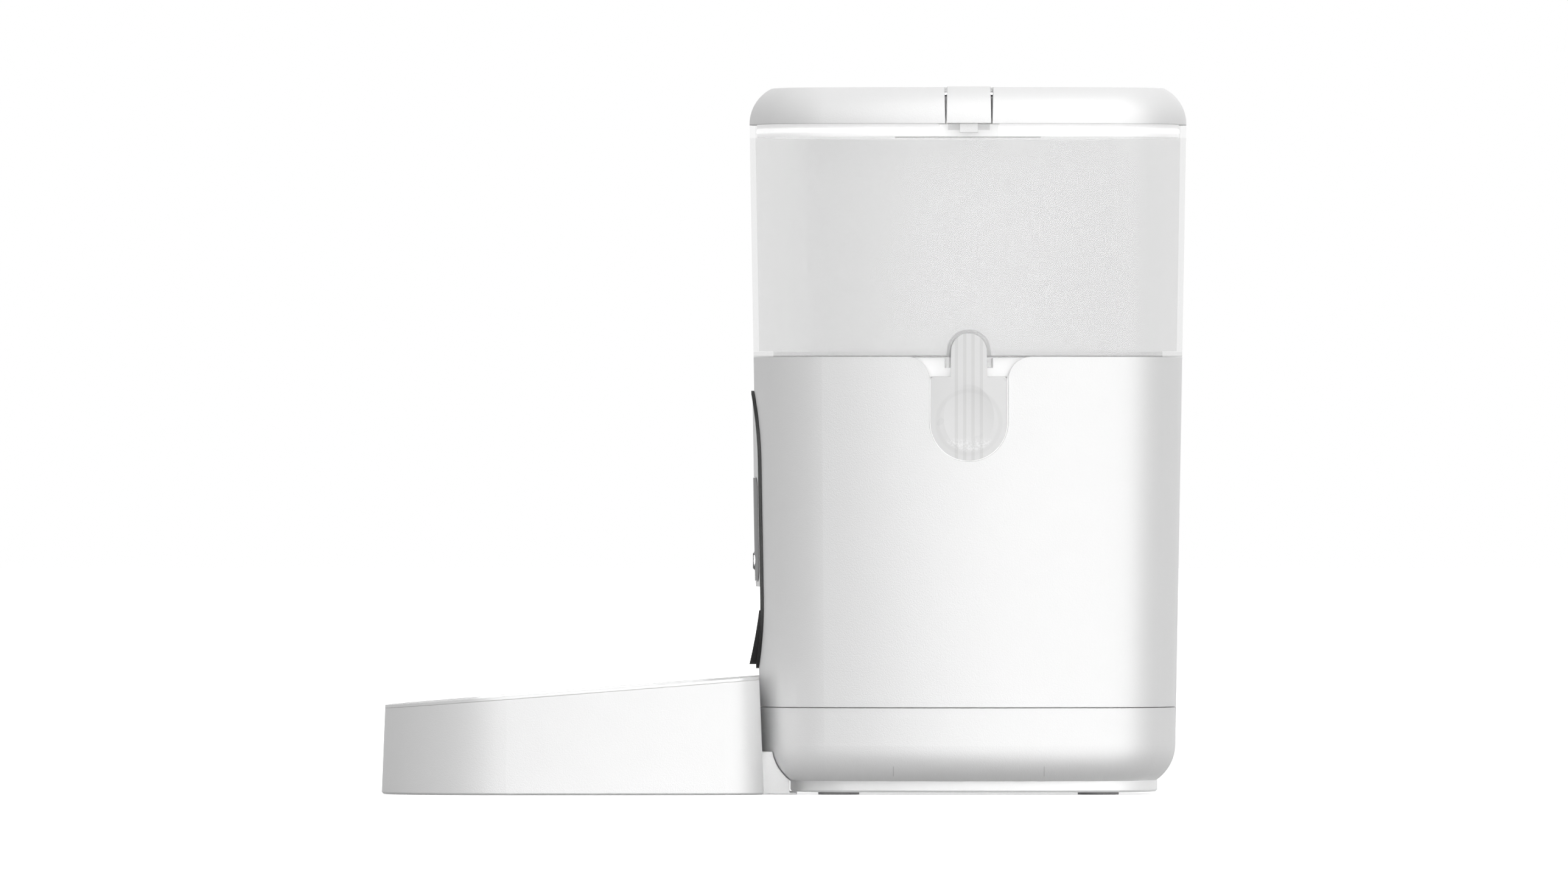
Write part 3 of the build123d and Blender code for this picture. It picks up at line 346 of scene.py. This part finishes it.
# %% Clear rim of the tank
rim_clearness, rim_soft = 0.97, 0.0002
tank_tree = tank_skin.node_tree
tank_z = coordinate(tank_tree, "Z")
above_skirt = ease(tank_tree, tank_z, skirt_low - rim_soft, skirt_low)
rim_share = calculate(tank_tree, "MULTIPLY", above_skirt, rim_clearness)
tank_mix = tank_tree.nodes["see through"]
plain_share = tank_mix.inputs["Fac"].links[0].from_socket
tank_tree.links.new(calculate(tank_tree, "MAXIMUM", plain_share, rim_share), tank_mix.inputs["Fac"])
print("clear rim from", round(skirt_low, 4), "to", round(rim_top, 4))

# %% Smoke along the shoulder of the tank, and painted shade in the seam
# Both heights are measured upwards from the top of the body.
seam_height, seam_soft, seam_shade_tone = 0.0005, 0.0001, 0.55
shoulder_height, shoulder_soft = 0.0021, 0.0003
seam_weight, smoke_strength = 3.0, 0.04
# The seam line is painted shade: a dark line in the gap where the tank sits on the body.
seam_shade_line = band(tank_tree, tank_z, body_top, body_top + seam_height, seam_soft)
shoulder = band(tank_tree, tank_z, body_top, body_top + shoulder_height, shoulder_soft)
shoulder_and_seam_shade = calculate(tank_tree, "ADD", calculate(tank_tree, "MULTIPLY", seam_shade_line, seam_weight), shoulder)
shoulder_and_seam_shade = calculate(tank_tree, "MULTIPLY", shoulder_and_seam_shade, smoke_strength)
smoked = tank_tree.nodes.new("ShaderNodeMixRGB")
smoked.inputs["Color1"].default_value = (tank_tone, tank_tone, tank_tone, 1)
smoked.inputs["Color2"].default_value = (0, 0, 0, 1)
tank_tree.links.new(shoulder_and_seam_shade, smoked.inputs["Fac"])
tank_clear = find_node(tank_tree, "BSDF_TRANSPARENT")
tank_tree.links.new(smoked.outputs["Color"], tank_clear.inputs["Color"])
shade(tank_skin, seam_shade_line, seam_shade_tone)
print("shoulder_and_seam_shade", round(1000 * shoulder_height, 1), "mm high along the shoulder")

# %% Lid skirt, collar and plinth
skirt_skin = glowing(plastic("skirt_white", (0.92, 0.92, 0.92), 0.5, grain=0.03), 0.35)
collar_skin = glowing(plastic("collar_white", (0.90, 0.90, 0.90), 0.5, grain=0.03), 0.14)
plinth_skin = glowing(plastic("plinth_white", (0.90, 0.90, 0.90), 0.45, grain=0.1, pebble=1500.0), 0.12)
glowing(seal_skin, 0.4)
dish_skin = satin_white("dish_white", 0.88, 0.45, edge_highlight=0.0007, edge_shade=1.0)
for node, skin in (
    ("lid_liner", skirt_skin), ("hopper_frame", collar_skin), ("bottom_cover", plinth_skin),
    ("bowl_holder", dish_skin),
):
    nodes[node].data.materials[0] = skin
print("skirt, seal, collar and plinth glow a little")

# %% Mould marks on the base
base_skin = satin_white("base_white")
base_tree = base_skin.node_tree
mark_half_distance, mark_width, mark_soft = 0.033, 0.0003, 0.0001
mark_foot, mark_top, mark_end_soft, mark_tone = 0.0084, 0.0122, 0.0006, 0.8
tank_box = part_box("tank")
tank_middle = (tank_box[0][1] + tank_box[1][1]) / 2
from_middle = calculate(base_tree, "SUBTRACT", coordinate(base_tree, "Y"), tank_middle)
from_middle = calculate(base_tree, "ABSOLUTE", from_middle)
mark_low, mark_high = mark_half_distance - mark_width / 2, mark_half_distance + mark_width / 2
upright = band(base_tree, from_middle, mark_low, mark_high, mark_soft)
level = band(base_tree, coordinate(base_tree, "Z"), mark_foot, mark_top, mark_end_soft)
shade(base_skin, calculate(base_tree, "MULTIPLY", upright, level), mark_tone)
nodes["base_housing"].data.materials[0] = base_skin
print("two short marks on each side of the base")

# %% Ribs of the release tabs
tab_skin = plastic("tab_clear", (0.70, 0.70, 0.70), 0.28, grain=0.02, tint=0.004, edge_highlight=0.0001)
see_through(tab_skin, 0.18, edge_share=0.3, tone=0.97)
tab_tree = tab_skin.node_tree
rib_pitch, rib_width, rib_soft, rib_count, rib_tone = 0.00363, 0.0013, 0.00015, 4, 0.88
dimple_radius = 0.0141
tab_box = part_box("release_tab_right")
middle_y = (tab_box[0][1] + tab_box[1][1]) / 2
dimple_z = tab_box[0][2] + (tab_box[1][1] - tab_box[0][1]) / 2
across = calculate(tab_tree, "SUBTRACT", coordinate(tab_tree, "Y"), middle_y)
rise = calculate(tab_tree, "SUBTRACT", coordinate(tab_tree, "Z"), dimple_z)
ribs = None
for rib in range(rib_count):
    rib_y = (rib - (rib_count - 1) / 2) * rib_pitch
    stripe = band(tab_tree, across, rib_y - rib_width / 2, rib_y + rib_width / 2, rib_soft)
    ribs = stripe if ribs is None else calculate(tab_tree, "ADD", ribs, stripe)
shade(tab_skin, ribs, rib_tone)
print(rib_count, "ribs behind each tab")

# %% Finger dimple of the release tabs
# The ring and the edge of the patch are measured from the dimple's radius, and the top of the patch
# from the middle of the dimple, with minus below it.
ring_inside, ring_outside, ring_soft, ring_shade_tone = 0.0007, 0.0001, 0.001, 0.95
patch_edge_start, patch_edge_full = 0.0004, 0.0022
patch_top, patch_full, highlight_tone = -0.0062, -0.0095, 1.2
speck_scale, speck_start, speck_full = 1500.0, 0.45, 0.6
square_y = calculate(tab_tree, "MULTIPLY", across, across)
square_z = calculate(tab_tree, "MULTIPLY", rise, rise)
radius = calculate(tab_tree, "SQRT", calculate(tab_tree, "ADD", square_y, square_z))
ring_low, ring_high = dimple_radius - ring_inside, dimple_radius + ring_outside
# Painted shade: a darker ring round the edge of the dish.
shade(tab_skin, band(tab_tree, radius, ring_low, ring_high, ring_soft), ring_shade_tone)
# Painted highlight: the foot of the dish is made brighter, broken into specks by noise.
inside = ease(tab_tree, radius, dimple_radius - patch_edge_start, dimple_radius - patch_edge_full)
foot = ease(tab_tree, rise, patch_top, patch_full)
specks = ease(tab_tree, noise(tab_tree, speck_scale, 1.0), speck_start, speck_full)
dimple_highlight = calculate(tab_tree, "MULTIPLY", calculate(tab_tree, "MULTIPLY", inside, foot), specks)
shade(tab_skin, dimple_highlight, highlight_tone)
for node in ("release_tab_right", "release_tab_left"):
    nodes[node].data.materials[0] = tab_skin
print("dimple at", round(dimple_z, 4))

# %% [markdown]
# ## Strips of painted highlight and painted shade
#
# Three small things on each side are drawn as flat strips: a painted highlight along the edge of the
# release tab, a glowing bright line in the gap round it; painted shade in the slot round the neck of
# the tab, a grey see-through sheet; and painted shade in the catch recess under the latch, another
# such sheet. Each strip follows a path in the side view, and its distance from the middle plane comes
# from the skin of the body, which leans out by one degree.
# A strip rides on the body of the piece that it belongs to, so that it moves with it.


# %% The strip builder
lean_degrees = 1.0
lean = math.tan(math.radians(lean_degrees))
rim_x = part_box("tank")[1][0]


def side_distance(z):
    """How far the skin at the middle of the side is from the middle plane, at height z."""
    return rim_x - (rim_top - z) * lean


def strip(name, inner_path, outer_path, depth, side, skin, body):
    """Flat strip between two paths in the side view, at a depth below the skin. Side is 1 or -1."""
    points = []
    for y, z in inner_path + outer_path:
        points.append((side * (side_distance(z) - depth), y, z))
    count = len(inner_path)
    faces = []
    for i in range(count - 1):
        face = (i, i + 1, count + i + 1, count + i)
        faces.append(face if side > 0 else face[::-1])
    mesh = bpy.data.meshes.new(name)
    mesh.from_pydata(points, [], faces)
    mesh.materials.append(skin)
    piece = bpy.data.objects.new(name, mesh)
    bpy.context.scene.collection.objects.link(piece)
    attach(piece, body)
    return piece


def arch_path(radius, centre_z, low_z, turn, steps=32):
    """A path up one side, round a half circle and down the other. Turn is 1 above and -1 below."""
    path = [(middle_y - radius, low_z)]
    for i in range(steps + 1):
        angle = math.pi * i / steps
        path.append((middle_y - radius * math.cos(angle), centre_z + turn * radius * math.sin(angle)))
    path.append((middle_y + radius, low_z))
    return path


print("side skin at the rim", round(rim_x, 4), "from the middle plane")

# %% Place the strips
# Depths go inwards from the skin. The slot ends a little above the body, and the catch strip's foot
# and top are measured downwards from the rim.
tab_half = (tab_box[1][1] - tab_box[0][1]) / 2
tab_top, neck_radius = 0.183, 0.0078
edge_gap, edge_depth = 0.00028, 0.0006
slot_width, slot_top, slot_depth = 0.0017, 0.0003, 0.0030
catch_half, catch_foot, catch_top, catch_depth = 0.0092, 0.0028, 0.0002, 0.0038
arch_z = tab_box[1][2] - neck_radius
slot_end = body_top + slot_top
catch_ends = (middle_y - catch_half, middle_y + catch_half)
# Painted highlight: a glowing strip in the gap round each release tab.
edge_highlight_skin = glowing(plastic("tab_edge_highlight", (0.92, 0.92, 0.92), 0.3), 0.2)
# Painted shade: a grey see-through sheet set in the slot round the neck and in the catch recess.
shade_strip_skin = see_through(plastic("slot_shade", (0.6, 0.6, 0.6), 0.5), 0.8, tone=0.96)
strips = []
for side, hand in ((1, "right"), (-1, "left")):
    edge_inner = arch_path(tab_half, dimple_z, tab_top, -1)
    edge_outer = arch_path(tab_half + edge_gap, dimple_z, tab_top, -1)
    edge_name, tab_body = f"tab_{hand}_edge", f"tab_{hand}"
    strips.append(strip(edge_name, edge_inner, edge_outer, edge_depth, side, edge_highlight_skin, tab_body))
    slot_inner = arch_path(neck_radius, arch_z, slot_end, 1)
    slot_outer = arch_path(neck_radius + slot_width, arch_z, slot_end, 1)
    slot_name = f"tab_slot_{hand}"
    strips.append(strip(slot_name, slot_inner, slot_outer, slot_depth, side, shade_strip_skin, "tank"))
    catch_low = [(y, rim_top - catch_foot) for y in catch_ends]
    catch_high = [(y, rim_top - catch_top) for y in catch_ends]
    catch_name = f"catch_shade_{hand}"
    strips.append(strip(catch_name, catch_low, catch_high, catch_depth, side, shade_strip_skin, "tank"))
print(len(strips), "strips on tabs and catches")

# %% [markdown]
# ## The studio
#
# A catalogue photograph of a white object on white is lit so that the object keeps its grey tones
# while the paper behind it burns out to pure white. The world shader does that with a Light Path
# node: camera rays meet plain white, and all other rays meet a sky that is brighter on one side.
#
# The sky has two glows, and each is a dot product between the ray and a chosen direction, eased
# by a Map Range node. The wide one lights the object. The narrower one is met by glossy rays only,
# as a big softbox is in a satin surface: it makes the broad highlight that fades towards the front
# of the body, and that slow fade is what tells the eye that the side is curved.

# %% Sky glows
scene = bpy.context.scene
scene.view_settings.view_transform = "Standard"
world = bpy.data.worlds.new("studio")
scene.world = world
world.use_nodes = True
sky = world.node_tree
sky.nodes.clear()


def glow(azimuth, elevation, edge_highlight, core, low, high):
    """A sky that eases from low to high towards one direction. Azimuth 0 is +X, 90 is +Y.

    Edge and core are the angles from that direction where the glow starts and where it is full.
    """
    turn, rise = math.radians(azimuth), math.radians(elevation)
    ray = (math.cos(turn) * math.cos(rise), math.sin(turn) * math.cos(rise), math.sin(rise))
    place = sky.nodes.new("ShaderNodeTexCoord")
    dot = sky.nodes.new("ShaderNodeVectorMath")
    dot.operation = "DOT_PRODUCT"
    dot.inputs[1].default_value = ray
    sky.links.new(place.outputs["Generated"], dot.inputs[0])
    fade = sky.nodes.new("ShaderNodeMapRange")
    fade.interpolation_type = "SMOOTHSTEP"
    fade.inputs["From Min"].default_value = math.cos(math.radians(edge_highlight))
    fade.inputs["From Max"].default_value = math.cos(math.radians(core))
    fade.inputs["To Min"].default_value = low
    fade.inputs["To Max"].default_value = high
    sky.links.new(dot.outputs["Value"], fade.inputs["Value"])
    light = sky.nodes.new("ShaderNodeBackground")
    sky.links.new(fade.outputs["Result"], light.inputs["Strength"])
    return light.outputs["Background"]


print("sky ready for its glows")


# %% Put the sky together
def pick(socket, otherwise, chosen):
    """The chosen shader where the Light Path output is 1, and the other elsewhere."""
    mix = sky.nodes.new("ShaderNodeMixShader")
    sky.links.new(ray_kind.outputs[socket], mix.inputs["Fac"])
    sky.links.new(otherwise, mix.inputs[1])
    sky.links.new(chosen, mix.inputs[2])
    return mix.outputs["Shader"]


ray_kind = sky.nodes.new("ShaderNodeLightPath")
backdrop = sky.nodes.new("ShaderNodeBackground")
backdrop.inputs["Color"].default_value = (1, 1, 1, 1)
room = glow(azimuth=25, elevation=42, edge_highlight=105, core=20, low=0.51, high=1.42)
softbox = glow(azimuth=26, elevation=16, edge_highlight=72, core=28, low=0.8, high=14.0)
unseen = pick("Is Glossy Ray", room, softbox)
sky_out = sky.nodes.new("ShaderNodeOutputWorld")
sky.links.new(pick("Is Camera Ray", unseen, backdrop.outputs["Background"]), sky_out.inputs["Surface"])
print("sky made of", len(sky.nodes), "nodes")

# %% [markdown]
# ## The paper
#
# The floor glows a little, so that to the camera it is as white as the backdrop, except right
# beside the object, where less light falls on it: that is the contact shadow. Diffuse rays find a
# greyer paper, because a bright floor would fill in the dark curve under the body, and glossy rays
# pass through it and meet the lower half of the softbox.

# %% Paper floor
paper_size, paper_drop = 60, 0.0002
paper_tone, paper_glow, unlit_tone = 0.85, 0.62, 0.4
bpy.ops.mesh.primitive_plane_add(size=paper_size, location=(0, 0, -paper_drop))
floor = bpy.context.object
floor.name = "paper_floor"
paper, paper_tree, paper_shader, paper_out = new_material("paper")
paper_shader.inputs["Base Color"].default_value = (paper_tone, paper_tone, paper_tone, 1)
paper_shader.inputs["Roughness"].default_value = 0.9
paper_shader.inputs["Specular IOR Level"].default_value = 0.0
paper_shader.inputs["Emission Color"].default_value = (1, 1, 1, 1)
paper_shader.inputs["Emission Strength"].default_value = paper_glow
dim = paper_tree.nodes.new("ShaderNodeBsdfDiffuse")
dim.inputs["Color"].default_value = (unlit_tone, unlit_tone, unlit_tone, 1)
seen = paper_tree.nodes.new("ShaderNodeLightPath")
paper_mix = paper_tree.nodes.new("ShaderNodeMixShader")
paper_tree.links.new(seen.outputs["Is Camera Ray"], paper_mix.inputs["Fac"])
clear_paper = paper_tree.nodes.new("ShaderNodeBsdfTransparent")
unlit = paper_tree.nodes.new("ShaderNodeMixShader")
paper_tree.links.new(seen.outputs["Is Glossy Ray"], unlit.inputs["Fac"])
paper_tree.links.new(dim.outputs["BSDF"], unlit.inputs[1])
paper_tree.links.new(clear_paper.outputs["BSDF"], unlit.inputs[2])
paper_tree.links.new(unlit.outputs["Shader"], paper_mix.inputs[1])
paper_tree.links.new(paper_shader.outputs["BSDF"], paper_mix.inputs[2])
paper_tree.links.new(paper_mix.outputs["Shader"], paper_out.inputs["Surface"])
floor.data.materials.append(paper)
print("paper at", tuple(floor.location))

# %% [markdown]
# ## The camera
#
# Catalogue photographs are taken from far away with a long lens, so that parallel edges stay
# parallel. Here the camera is 17 metres off, and the lens is chosen so that the picture is as wide
# as the photograph at the middle plane of the feeder.

# %% Camera
photo_width = 0.6893
photo_centre_z = 0.1549
camera_distance = 17.0
camera_data = bpy.data.cameras.new("camera")
camera_data.sensor_width = 36.0
camera_data.lens = camera_data.sensor_width * camera_distance / photo_width
camera_data.clip_end = 100.0
camera = bpy.data.objects.new("camera", camera_data)
scene.collection.objects.link(camera)
camera.location = (camera_distance, 0.0, photo_centre_z)
camera.rotation_euler = (math.radians(90), 0, math.radians(90))
scene.camera = camera
print("lens", round(camera_data.lens, 1), "mm")
